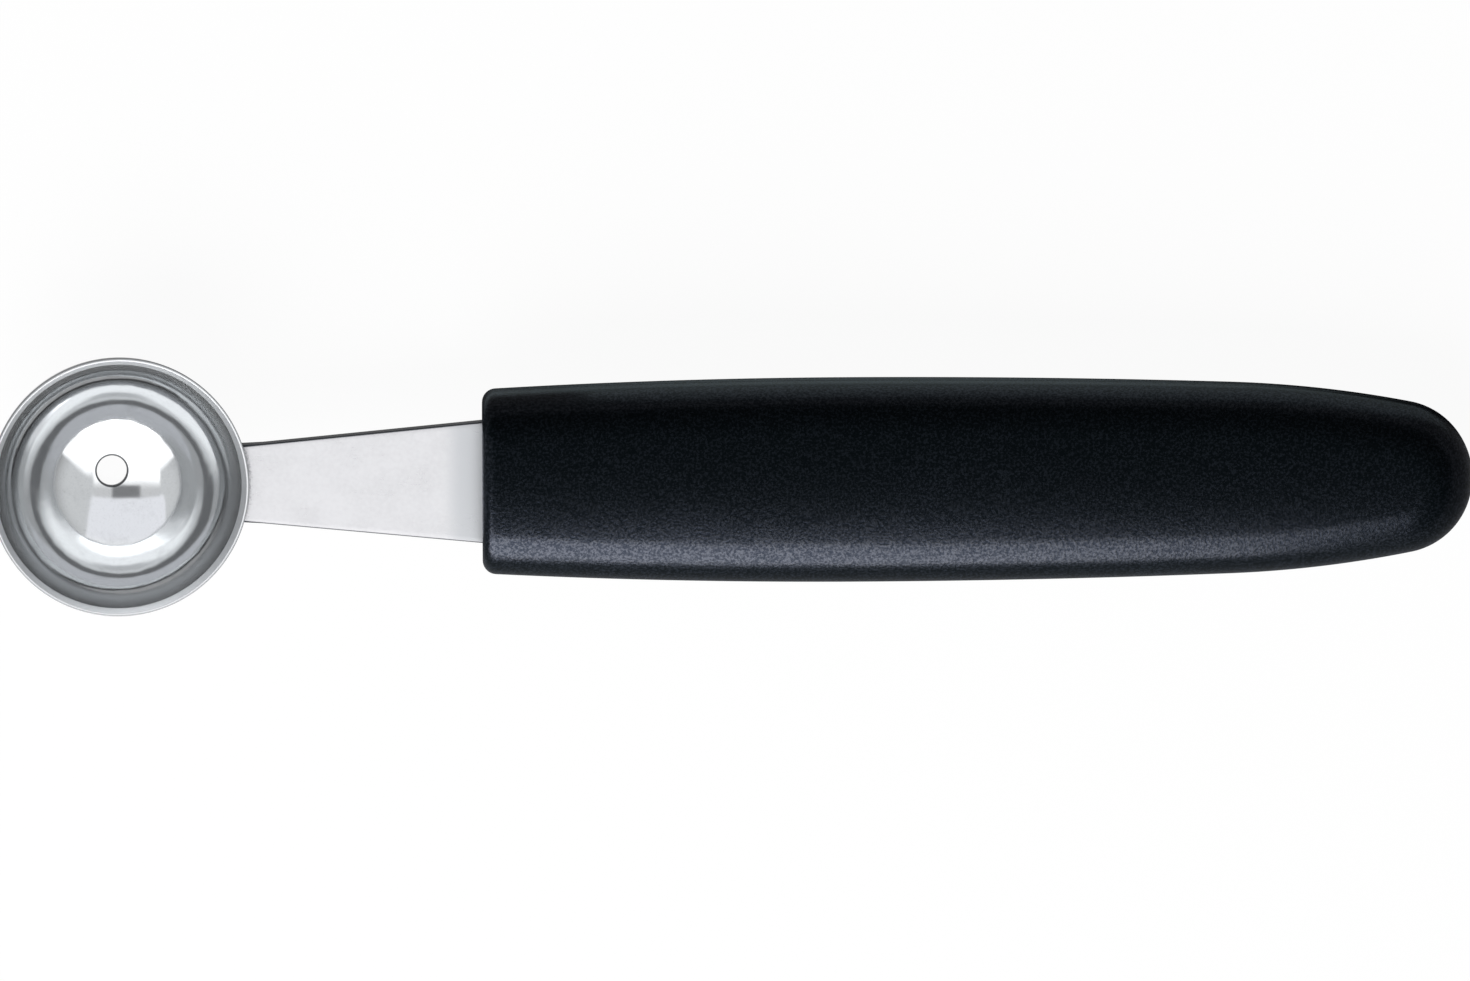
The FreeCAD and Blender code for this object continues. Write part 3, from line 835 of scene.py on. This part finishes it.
@dataclass
class Handle:
    """Moulded handle: a plan of tangent arcs, crowned above and below, with rounded edges and a slot for the tang."""

    front: float = FRONT
    drop: float = DROP
    length: float = 114.15
    belly_half: float = 11.55
    belly_rise: float = 8.6
    belly: float = 42.6
    front_taper: float = 1.1
    hip_taper: float = 0.66
    hip_from_butt: float = 28.0
    butt_drop: float = 1.9
    butt_share: float = 0.802
    edge_share: float = 0.35
    crown: float = 45.0
    front_edge: float = 1.6
    seam: float = 0.03
    seam_width: float = 0.09
    seam_steps: Tuple[float, ...] = (0.0, 0.4, 0.8, 1.2, 1.7, 2.4)
    wall_start: float = 0.35
    slot_gap: float = 0.02
    face_steps: Tuple[float, ...] = (0.08, 0.5, 0.92)
    flank_points: int = 50
    butt_points: int = 40
    wall_points: int = 4
    edge_points: int = 15
    crown_points: int = 14
    nose_points: int = 10
    shank: Shank = field(default_factory=Shank)
    finish: GrainedPlastic = field(default_factory=GrainedPlastic)

    def __post_init__(self) -> None:
        """Work out the radii that follow from the sizes."""
        self.edge = self.edge_share * 2.0 * self.belly_rise
        self.hip_half = self.belly_half - self.hip_taper
        self.hip = self.length - self.hip_from_butt
        self.butt = self.butt_share * self.hip_half
        self.butt_centre = self.length - self.butt
        self.sweep = self.flank(self.length - self.belly, self.butt_drop)

    @staticmethod
    def flank(run: float, drop: float) -> float:
        """Radius of an arc that starts level and drops by this much over this run."""
        return (run**2 + drop**2) / (2.0 * drop)

    def plan(self) -> Tuple[np.ndarray, np.ndarray]:
        """Half the outline seen from above, from the front corner round to the middle of the butt.

        Four arcs: two long flanks that are level at the belly, the hip arc that is tangent to the second flank and
        to the butt's circle, and the butt.

        Returns:
            Points by 2 and their outward normals.
        """
        fore = self.flank(self.belly, self.front_taper)
        aft = self.flank(self.hip - self.belly, self.hip_taper)
        lean = math.asin((self.hip - self.belly) / aft)
        inward = np.array([-math.sin(lean), -math.cos(lean)])
        hip = np.array([self.hip, self.hip_half])
        from_butt = hip - np.array([self.butt_centre, 0.0])
        hip_radius = (self.butt**2 - from_butt @ from_butt) / (2.0 * (inward @ from_butt + self.butt))
        hip_centre = hip + inward * hip_radius
        meet = math.atan2(-hip_centre[1], self.butt_centre - hip_centre[0])
        first = QUARTER + math.asin((self.belly - self.front_edge) / fore)
        last = QUARTER - lean
        arcs = [
            ((self.belly, self.belly_half - fore), fore, np.linspace(first, QUARTER, self.flank_points)),
            ((self.belly, self.belly_half - aft), aft, np.linspace(QUARTER, last, self.flank_points)[1:]),
            (hip_centre, hip_radius, np.linspace(last, meet, self.butt_points)[1:]),
            ((self.butt_centre, 0.0), self.butt, np.linspace(meet, 0.0, self.butt_points)[1:]),
        ]
        normals = [np.stack([np.cos(turn), np.sin(turn)], axis=1) for _, _, turn in arcs]
        points = [np.asarray(centre) + radius * normal for (centre, radius, _), normal in zip(arcs, normals)]
        return np.concatenate(points), np.concatenate(normals)

    def crown_height(self, x: np.ndarray, y: np.ndarray, inset: float = 0.0) -> np.ndarray:
        """Height above the middle plane of the crown, an arc across swept on a long arc along, or of one inset."""
        reach = self.sweep - self.crown + np.sqrt((self.crown - inset) ** 2 - y**2)
        return np.sqrt(reach**2 - (x - self.belly) ** 2) - (self.sweep - self.belly_rise)

    def crown_normal(self, points: np.ndarray) -> np.ndarray:
        """Outward direction of the crowned face at points near it.

        Args:
            points: any shape by 3.

        Returns:
            Unit vectors away from the circle on which the centre of the arc across is swept.
        """
        base = self.sweep - self.belly_rise
        swing = np.arctan2(points[..., 0] - self.belly, points[..., 2] + base)
        radius = self.sweep - self.crown
        x = self.belly + radius * np.sin(swing)
        core = np.stack([x, np.zeros_like(swing), radius * np.cos(swing) - base], axis=-1)
        away = points - core
        return away / np.linalg.norm(away, axis=-1, keepdims=True)

    def flanks(self) -> Tuple[np.ndarray, np.ndarray]:
        """A quarter of the handle's skin behind its front edge.

        At each point of the plan the section is the upright wall, then the arc of a ball that rolls in the corner
        of wall and crown, then the crown in to the middle line. A fine seam, its height falling off as exp(-t^2),
        stands out at the middle plane.

        Returns:
            Rows by points by 3, and the outward normals of the first row.
        """
        plan, out = self.plan()
        wall_normal = np.concatenate([out, np.zeros((len(out), 1))], axis=1)
        ball_xy = plan - self.edge * out
        ball_z = self.crown_height(ball_xy[:, 0], ball_xy[:, 1], self.edge)
        ball = np.concatenate([ball_xy, ball_z[:, None]], axis=1)
        low = np.array(self.seam_steps) * self.seam_width
        rise = np.linspace(self.wall_start, 1.0, self.wall_points)[:-1]
        height = np.concatenate([np.broadcast_to(low, (len(plan), len(low))), rise * ball_z[:, None]], axis=1)
        stand = self.seam * np.exp(-((height / self.seam_width) ** 2))
        wall_xy = plan[:, None, :] + stand[..., None] * out[:, None, :]
        wall = np.concatenate([wall_xy, height[..., None]], axis=-1)
        edge_normal = arc_between(wall_normal, self.crown_normal(ball), np.linspace(0.0, 1.0, self.edge_points))
        edge = ball[:, None, :] + self.edge * edge_normal
        rim = edge[:, -1, :]
        share = np.linspace(0.0, 1.0, self.crown_points)[1:]
        spine = np.minimum(rim[:, 0], self.butt_centre)
        x = rim[:, :1] + share * (spine - rim[:, 0])[:, None]
        y = rim[:, 1:2] * (1.0 - share)
        top = np.stack([x, y, self.crown_height(x, y)], axis=-1)
        sides = np.repeat(wall_normal[:1], wall.shape[1], axis=0)
        first = np.concatenate([sides, edge_normal[0], self.crown_normal(top[0])])
        return np.concatenate([wall, edge, top], axis=1), first

    def nose(self, row: np.ndarray, normal: np.ndarray) -> Tuple[np.ndarray, np.ndarray]:
        """Round the front edge with a ball that touches the skin and the front face.

        The skin's first row is slid along the skin until the ball on it is one radius behind the front face.

        Args:
            row: the skin's first row of points.
            normal: its outward normals.

        Returns:
            Rows from the front face back, and the slid first row.
        """
        goal = self.front_edge * (1.0 + normal[:, 0])
        along = np.array([1.0, 0.0, 0.0]) - normal[:, :1] * normal
        slid = row + ((goal - row[:, 0]) / along[:, 0])[:, None] * along
        ball = slid - self.front_edge * normal
        ahead = np.broadcast_to(np.array([-1.0, 0.0, 0.0]), normal.shape)
        turns = arc_between(ahead, normal, np.linspace(0.0, 1.0, self.nose_points)[:-1])
        return np.swapaxes(ball[:, None, :] + self.front_edge * turns, 0, 1), slid

    def slot(self, ring: np.ndarray) -> np.ndarray:
        """Front face in to the tang's slot, and the slot down to its end.

        Each point of the ring is drawn straight in to the slot's rectangle, which then follows the strip's seat
        and the tang.

        Args:
            ring: the front face's outline.

        Returns:
            Rows from the slot's end out to the face's outline.
        """
        strip = self.shank
        half_height = strip.thickness / 2.0 + self.slot_gap
        across = np.maximum(np.abs(ring[:, 1]), TINY)
        upward = np.maximum(np.abs(ring[:, 2]), TINY)

        def mouth(half: float, depth: float) -> np.ndarray:
            """One ring of the slot."""
            share = np.minimum((half + self.slot_gap) / across, half_height / upward)
            return np.stack([np.full_like(across, depth), ring[:, 1] * share, ring[:, 2] * share], axis=1)

        outer = mouth(strip.root_half, 0.0)
        end = mouth(strip.tang_half, strip.tang_length + self.slot_gap)
        seat = [mouth(half, strip.seat + self.slot_gap) for half in (strip.tang_half, strip.root_half)]
        face = [outer + share * (ring - outer) for share in self.face_steps]
        return np.stack([end * FLAT, end, *seat, outer, *face])

    def build(self) -> bpy.types.Object:
        """Join slot, front edge and flanks to one closed skin.

        Returns:
            The handle.
        """
        quarter, normal = self.flanks()
        nose, slid = self.nose(quarter[0], normal)
        quarter[0] = slid
        rings = rounded(np.concatenate([nose, quarter]))
        points = np.concatenate([self.slot(rings[0]), rings])
        points = points + np.array([self.front, 0.0, -self.drop])
        return piece(solid("grip", points), Node.HANDLE, self.finish.material())


def put(name: str, data: bpy.types.ID, axes: Sequence[Vector], spot: Vector) -> bpy.types.Object:
    """Put a camera or a lamp in the scene.

    Args:
        name: its name.
        data: the camera or lamp.
        axes: directions of its right, its top and its back.
        spot: its place, in metres.

    Returns:
        The object.
    """
    made = bpy.data.objects.new(name, data)
    made.matrix_world = Matrix.Translation(spot) @ Matrix(axes).transposed().to_4x4()
    bpy.context.scene.collection.objects.link(made)
    return made


@dataclass
class Viewpoint:
    """Camera at the photograph's angle: nearly straight down, leaning a little to one side."""

    pixel: float = 0.1152
    frame_size: Tuple[float, float] = (1470.0, 981.0)
    bowl_at: Tuple[float, float] = (119.4, 487.6)
    lean_x: float = -0.3
    lean_y: float = 8.1
    roll: float = 0.3
    distance: float = 4000.0
    sensor: float = 36.0
    clip: Tuple[float, float] = (0.05, 50.0)

    def axes(self) -> Tuple[Vector, Vector, Vector]:
        """Directions of the picture's right and top, and the way to the camera.

        Returns:
            Three unit vectors.
        """
        lean = [math.tan(math.radians(angle)) for angle in (self.lean_x, self.lean_y)]
        back = Vector((*lean, 1.0)).normalized()
        right = (Vector((1.0, 0.0, 0.0)) - back * back.x).normalized()
        top = back.cross(right)
        turn = math.radians(self.roll)
        across = right * math.cos(turn) - top * math.sin(turn)
        return across, right * math.sin(turn) + top * math.cos(turn), back

    def build(self) -> bpy.types.Object:
        """Place the camera so that the bowl's mouth is where the photograph has it.

        Returns:
            The camera.
        """
        right, top, back = self.axes()
        width, height = self.frame_size
        shift_x = (width / 2.0 - self.bowl_at[0]) * self.pixel
        shift_y = (self.bowl_at[1] - height / 2.0) * self.pixel
        target = right * shift_x + top * shift_y
        data = bpy.data.cameras.new("viewpoint")
        data.sensor_fit = "HORIZONTAL"
        data.sensor_width = self.sensor
        data.lens = self.sensor * self.distance / (width * self.pixel)
        data.clip_start, data.clip_end = self.clip
        made = put("viewpoint", data, (right, top, back), (target + back * self.distance) * MM)
        bpy.context.scene.camera = made
        return made


@dataclass(frozen=True)
class Panel:
    """Pale patch of the tent, in the plane one unit from the bowl, seen along the photograph's axes."""

    left: float
    right: float
    low: float
    high: float
    spread: float
    edge: float
    fade: float
    light: Colour

    def mask(self, x: Value, y: Value) -> Value:
        """Where the patch is on the tent.

        Its sides move out by its spread times the distance along it.

        Args:
            x: places across the view.
            y: places up the view.

        Returns:
            1 inside, 0 outside, with soft edges, the upper one as soft as its fade says.
        """
        lean = abs(y) * self.spread
        left = (x + lean).step(self.left - self.edge, self.left + self.edge)
        right = 1.0 - (x - lean).step(self.right - self.edge, self.right + self.edge)
        low = y.step(self.low - self.edge, self.low + self.edge)
        high = 1.0 - y.step(self.high - self.fade, self.high + self.fade)
        return left * right * low * high


@dataclass(frozen=True)
class Card:
    """Pale card on the floor beside the grip."""

    name: str
    near: float
    far: float
    power: float
    start: float = 25.0
    end: float = 163.0
    lift: float = 1.0
    tint: Colour = (0.84, 1.0, 0.99)


@dataclass
class Studio:
    """Pale floor under the tool, a dim room, a long soft lamp in front and a tent that the steel mirrors.

    The sizes of floor, lamps and tent are in metres, the cards' in millimetres.
    """

    viewpoint: Viewpoint
    steel: Sequence[bpy.types.Object]
    grip: bpy.types.Object
    tilt: float = 1.562
    bowl_radius: float = BOWL_RADIUS
    floor_half: float = 15.0
    floor_gap: float = 0.00002
    floor_tint: Colour = (0.6, 0.6, 0.605)
    floor_seen: Colour = (0.92, 0.92, 0.925)
    floor_level: float = 0.3
    floor_bend: float = 8.0
    floor_points: int = 81
    floor_glow: float = 0.95
    mirror_share: float = 0.72
    mirror_glow: Colour = (0.6, 0.6, 0.605)
    zenith: float = 0.04
    horizon: float = 0.3
    sky_fade: Tuple[float, float] = (0.02, 0.3)
    lamp_zenith: float = 52.0
    lamp_distance: float = 1.0
    lamp_shift: float = -0.47
    lamp_size: Tuple[float, float] = (1.38, 0.975)
    lamp_power: float = 28.5
    cards: Sequence[Card] = (
        Card("rear_card", 20.0, 100.0, 0.0083, start=53.0),
        Card("side_card", 12.0, 20.0, 0.0006),
        Card("fore_card", -80.0, -12.0, 0.0006),
    )
    end_zenith: float = 50.0
    end_distance: float = 0.5
    end_size: Tuple[float, float] = (0.5, 0.4)
    end_power: float = 0.126
    tent_radius: float = 3.0
    tent_rings: int = 19
    tent_turns: int = 49
    tent_low: Colour = (0.0, 0.0, 0.0)
    tent_high: Colour = (0.97, 0.98, 0.99)
    tent_fade: Tuple[float, float] = (0.15, 0.65)
    tent_lowest: float = 0.05
    panels: Sequence[Panel] = (  # in the order in which they cover each other
        Panel(-0.3, 0.3, -9.0, -0.25, 1.4, 0.12, 0.12, (2.05, 2.05, 2.07)),  # broad front patch
        Panel(-0.1, 0.1, -9.0, -0.38, 0.7, 0.2, 0.15, (6.0, 6.0, 6.03)),  # a lamp's glow in it
        Panel(-0.85, 0.45, 0.14, 1.55, 0.35, 0.05, 0.05, (1.34, 1.34, 1.4)),  # dimmer rear patch
        Panel(-1.6, 1.6, 1.35, 3.6, 0.3, 0.3, 0.3, (1.5, 1.5, 1.51)),  # bright strip behind that
        Panel(-0.78, 0.47, -0.85, 0.17, 0.0, 0.04, 0.04, (0.95, 0.95, 0.96)),  # window overhead
        Panel(-0.78, 0.47, -1.0, -0.12, 0.0, 0.05, 0.17, (2.8, 2.8, 2.81)),  # its brighter half
        Panel(-0.08, 0.14, -0.42, -0.15, 0.0, 0.06, 0.06, (1.4, 1.4, 1.42)),  # thin cloth in that half
        Panel(-0.34, 0.14, -0.04, 0.17, 0.0, 0.035, 0.035, (0.31, 0.31, 0.32)),  # dark camera stand
    )

    def __post_init__(self) -> None:
        """Gather what takes light: steel that of tent and floor, the grip the cards', grip and floor the lamp's."""
        self.takers = self.gathered("steel_pieces", *self.steel)
        self.held = self.gathered("plastic_pieces", self.grip)
        self.lit = self.gathered("lit_pieces", self.grip)

    @staticmethod
    def gathered(name: str, *pieces: bpy.types.Object) -> bpy.types.Collection:
        """Make a collection of pieces that takes the light of some lamps alone.

        Args:
            name: its name.
            pieces: what it holds.

        Returns:
            The collection.
        """
        made = bpy.data.collections.new(name)
        for each in pieces:
            made.objects.link(each)
        return made

    def sheet(self, name: str, points: np.ndarray, finish: bpy.types.Material) -> bpy.types.Object:
        """Make one piece of the stage, whose glow only the steel mirrors.

        Args:
            name: its name.
            points: rows by columns by 3, in metres.
            finish: its material.

        Returns:
            The piece.
        """
        faces = grid_faces(*points.shape[:2], False, False)
        made = smooth_mesh(name, points.reshape(-1, 3), faces.tolist())
        made.data.materials.append(finish)
        made.light_linking.receiver_collection = self.takers
        return made

    def floor(self) -> bpy.types.Object:
        """Lay the floor where the bowl and the handle's underside touch it.

        It slopes with the tool and goes over into two level parts: with u the distance along the tool divided by
        the reach of the slope, its height is the slope times the reach times u / (1 + u^8)^(1/8).

        Returns:
            The floor.
        """
        turn = math.radians(self.tilt)
        depth = self.bowl_radius * MM / math.cos(turn) + self.floor_gap
        bend = np.linspace(-1.0, 1.0, self.floor_points) * 4.0 * self.floor_level
        run = np.concatenate([[-self.floor_half], bend, [self.floor_half]])
        x, y = np.meshgrid(run, np.array([-1.0, 1.0]) * self.floor_half)
        share = x / self.floor_level
        level = share / (1.0 + share**self.floor_bend) ** (1.0 / self.floor_bend)
        points = np.stack([x, y, math.tan(turn) * self.floor_level * level - depth], axis=-1)
        made = self.sheet("floor", points, self.floor_material())
        self.lit.objects.link(made)
        return made

    def floor_material(self) -> bpy.types.Material:
        """Matte pale floor that also glows to the camera and less so in the metal, and keeps its shadow.

        Returns:
            The material.
        """
        tree = Tree(bpy.data.materials.new("floor"))
        rays = tree.node("ShaderNodeLightPath").socket.node.outputs
        kinds = ("Is Camera Ray", "Is Glossy Ray", "Is Transmission Ray")
        seen, mirrored, through = (Value(tree, rays[kind]) for kind in kinds)
        share = (seen.math("MAXIMUM", through) * self.floor_glow).math("MAXIMUM", mirrored * self.mirror_share)
        paint = tree.mix(seen, self.floor_tint, self.floor_seen)
        matte = tree.node("ShaderNodeBsdfDiffuse", None, {"Color": paint})
        light = tree.mix(mirrored, WHITE, self.mirror_glow)
        glow = tree.node("ShaderNodeEmission", None, {"Color": light, "Strength": 1.0})
        return tree.close(tree.node("ShaderNodeMixShader", None, {0: share, 1: matte, 2: glow}))

    @staticmethod
    def softbox(
        name: str, spot: Vector, away: Vector, size: Tuple[float, float], power: float
    ) -> bpy.types.Object:
        """Make one rectangular lamp that the camera doesn't see.

        Args:
            name: its name.
            spot: its middle, in metres.
            away: direction from what it lights to the lamp.
            size: its length and width, in metres.
            power: its power.

        Returns:
            The lamp.
        """
        data = bpy.data.lights.new(name, "AREA")
        data.shape = "RECTANGLE"
        data.size, data.size_y = size
        data.energy = power
        along = (Vector((1.0, 0.0, 0.0)) - away * away.x).normalized()
        made = put(name, data, (along, away.cross(along), away), spot)
        made.visible_camera = False
        return made

    def lamps(self) -> None:
        """Hang the long soft lamp on the picture's lower side and one by the bowl, and lay cards beside the grip."""
        lean = math.radians(self.lamp_zenith)
        away = Vector((0.0, -math.sin(lean), math.cos(lean)))
        spot = away * self.lamp_distance + Vector((self.lamp_shift, 0.0, 0.0))
        lamp = self.softbox("front_lamp", spot, away, self.lamp_size, self.lamp_power)
        lamp.light_linking.receiver_collection = self.lit
        tip = math.radians(self.end_zenith)
        ahead = Vector((-math.sin(tip), 0.0, math.cos(tip)))
        end = self.softbox("end_card", ahead * self.end_distance, ahead, self.end_size, self.end_power)
        for each in (end, *(self.laid(card) for card in self.cards)):
            each.light_linking.receiver_collection = self.held

    def laid(self, card: Card) -> bpy.types.Object:
        """Lay a card on the floor's slope, shining up.

        Args:
            card: its place and power.

        Returns:
            The card.
        """
        slope = math.radians(self.tilt)
        x = (card.start + card.end) / 2.0
        y = (card.near + card.far) / 2.0
        height = x * math.tan(slope) - self.bowl_radius / math.cos(slope) + card.lift
        down = Vector((math.sin(slope), 0.0, -math.cos(slope)))
        size = ((card.end - card.start) * MM, abs(card.far - card.near) * MM)
        made = self.softbox(card.name, Vector((x, y, height)) * MM, down, size, card.power)
        made.data.color = card.tint
        return made

    def tent(self) -> bpy.types.Object:
        """Put a pale tent round the tool, half a ball, which only the steel mirrors and light passes through.

        Returns:
            The tent.
        """
        down = np.linspace(0.0, QUARTER, self.tent_rings)
        round_it = np.linspace(0.0, 2.0 * math.pi, self.tent_turns)
        fall, turn = np.meshgrid(down, round_it, indexing="ij")
        ball = np.stack([np.sin(fall) * np.cos(turn), np.sin(fall) * np.sin(turn), np.cos(fall)], axis=-1)
        made = self.sheet("tent", self.tent_radius * ball, self.tent_material())
        made.visible_camera = False
        made.visible_shadow = False
        made.visible_transmission = False
        return made

    def tent_material(self) -> bpy.types.Material:
        """Clear cloth that glows in patches.

        Returns:
            The material.
        """
        tree = Tree(bpy.data.materials.new("tent"))
        way = tree.node("ShaderNodeVectorMath", {"operation": "NORMALIZE"}, {0: tree.place()})
        across, along, up = (tree.dot(way, axis) for axis in self.viewpoint.axes())
        rise = up.math("MAXIMUM", self.tent_lowest)
        x = across / rise
        y = along / rise
        colour = tree.mix(up.step(*self.tent_fade), self.tent_low, self.tent_high)
        for panel in self.panels:
            colour = tree.mix(panel.mask(x, y), colour, panel.light)
        glow = tree.node("ShaderNodeEmission", None, {"Color": colour, "Strength": 1.0})
        clear = tree.node("ShaderNodeBsdfTransparent")
        return tree.close(tree.node("ShaderNodeAddShader", None, {0: glow, 1: clear}))

    def sky(self) -> bpy.types.World:
        """Make the room, dim overhead and pale towards the horizon.

        Returns:
            The world.
        """
        tree = Tree(bpy.data.worlds.new("studio"))
        _, _, up = tree.parts(tree.node("ShaderNodeTexCoord", output="Generated"))
        shade = up.step(*self.sky_fade, self.horizon, self.zenith)
        room = tree.node("ShaderNodeBackground", None, {"Color": tree.colour(WHITE), "Strength": shade})
        bpy.context.scene.world = tree.close(room)
        return bpy.context.scene.world


def main() -> None:
    """Build the tool's pieces, then the camera, the floor and the light."""
    logging.basicConfig(level=logging.INFO, format="%(name)s %(message)s")
    bpy.context.scene.view_settings.view_transform = "Standard"
    steel = [assembly.build() for assembly in (Bowl(), Shank(), Weld())]
    grip = Handle().build()
    for made in (*steel, grip):
        LOG.info("%s stands in its place", made.name)
    viewpoint = Viewpoint()
    viewpoint.build()
    studio = Studio(viewpoint, steel, grip)
    studio.floor()
    studio.lamps()
    studio.tent()
    studio.sky()


if __name__ == "__main__":
    main()
